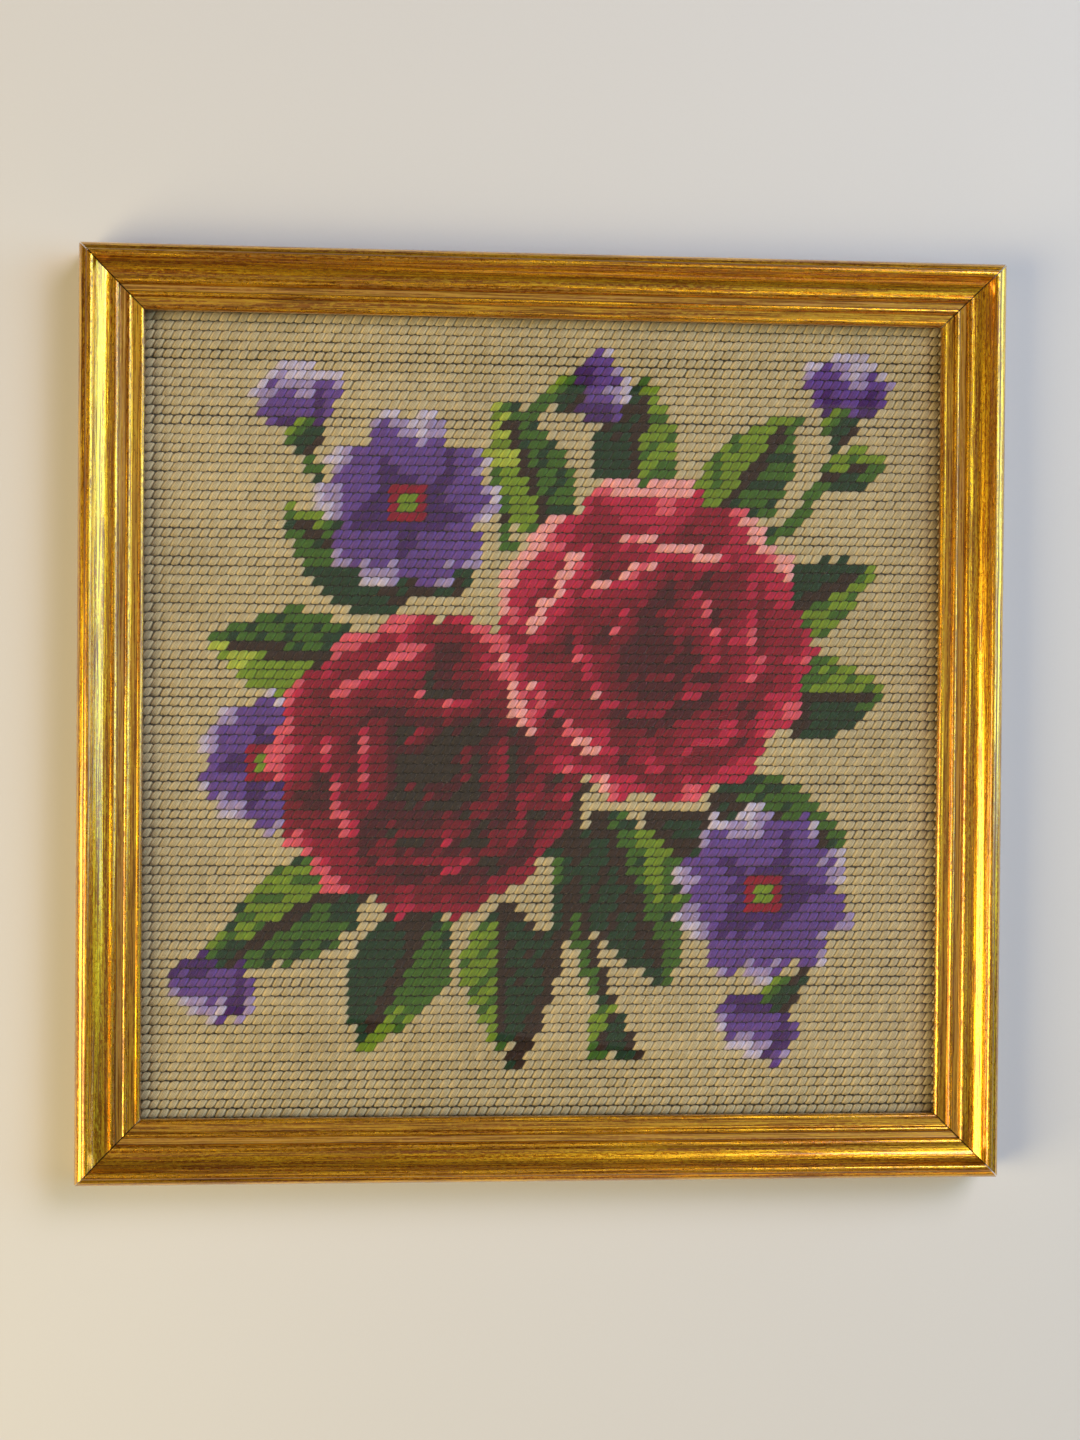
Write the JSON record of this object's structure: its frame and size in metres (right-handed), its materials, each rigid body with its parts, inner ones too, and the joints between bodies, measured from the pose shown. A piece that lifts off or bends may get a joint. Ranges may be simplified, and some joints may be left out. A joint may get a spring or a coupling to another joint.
{
  "type": "needlepoint canvas panel in picture frame",
  "caption": "Square wool needlepoint canvas behind glass in a slim gilt mitred picture frame, lying flat on its back with the worked face up.",
  "frame": {"origin": "centre of the back plane, on the surface the panel lies on", "axes": "+Z out of the picture's face, +Y to the picture's top, +X to the picture's right"},
  "size_m": [0.2514, 0.2514, 0.016],
  "materials": {
    "gilt_moulding": "antique gold leaf over red-brown bole, rubbed and streaked along the moulding",
    "picture_glass": "clear picture glass with a little dust",
    "wool_needlepoint": "matt tapestry wool in tent stitch on open cotton canvas"
  },
  "bodies": {
    "root": {"frame_rail_top": "gilt_moulding", "frame_rail_bottom": "gilt_moulding", "frame_rail_left": "gilt_moulding", "frame_rail_right": "gilt_moulding", "glass_pane": "picture_glass", "needlepoint_canvas": "wool_needlepoint"}
  },
  "joints": []
}
